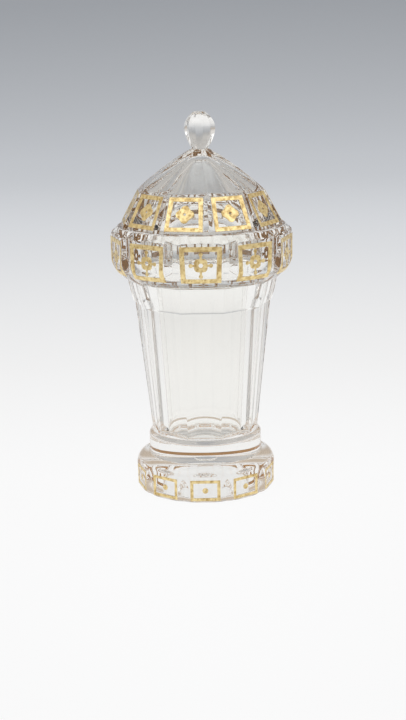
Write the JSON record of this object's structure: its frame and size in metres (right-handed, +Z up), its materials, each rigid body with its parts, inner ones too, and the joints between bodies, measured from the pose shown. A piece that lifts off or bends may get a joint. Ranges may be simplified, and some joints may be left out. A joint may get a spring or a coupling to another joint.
{
  "type": "covered glass goblet",
  "caption": "Covered goblet of heavy clear cut glass: faceted bowl on a broad foot, bulging rim collar, domed lid with a faceted knop, and gilt frames with rosettes on its panels.",
  "frame": {"origin": "middle of the standing ring, on the surface that the foot rests on", "axes": "+Z up along the goblet's axis; -Y towards the viewer, square to a bowl panel; +X to the viewer's right"},
  "size_m": [0.0998, 0.0976, 0.21],
  "materials": {
    "clear_glass": "polished clear cut glass",
    "gilding": "fired gold, softly burnished and slightly stippled"
  },
  "bodies": {
    "beaker": {"foot": "clear_glass", "bowl": "clear_glass", "rim_collar": "clear_glass", "foot_gilding_1": "gilding", "foot_gilding_2": "gilding", "foot_gilding_3": "gilding", "foot_gilding_4": "gilding", "foot_gilding_5": "gilding", "foot_gilding_6": "gilding", "foot_gilding_7": "gilding", "foot_gilding_8": "gilding", "foot_gilding_9": "gilding", "foot_gilding_10": "gilding", "collar_gilding_1": "gilding", "collar_gilding_2": "gilding", "collar_gilding_3": "gilding", "collar_gilding_4": "gilding", "collar_gilding_5": "gilding", "collar_gilding_6": "gilding", "collar_gilding_7": "gilding", "collar_gilding_8": "gilding", "collar_gilding_9": "gilding", "collar_gilding_10": "gilding"},
    "lid": {"lid_dome": "clear_glass", "lid_knop": "clear_glass", "lid_gilding_1": "gilding", "lid_gilding_2": "gilding", "lid_gilding_3": "gilding", "lid_gilding_4": "gilding", "lid_gilding_5": "gilding", "lid_gilding_6": "gilding", "lid_gilding_7": "gilding", "lid_gilding_8": "gilding", "lid_gilding_9": "gilding", "lid_gilding_10": "gilding"}
  },
  "joints": [
    {"name": "lid_lift", "type": "slide", "parent": "beaker", "child": "lid", "axis": [0, 0, 1], "range_m": [0, 0.12]}
  ]
}
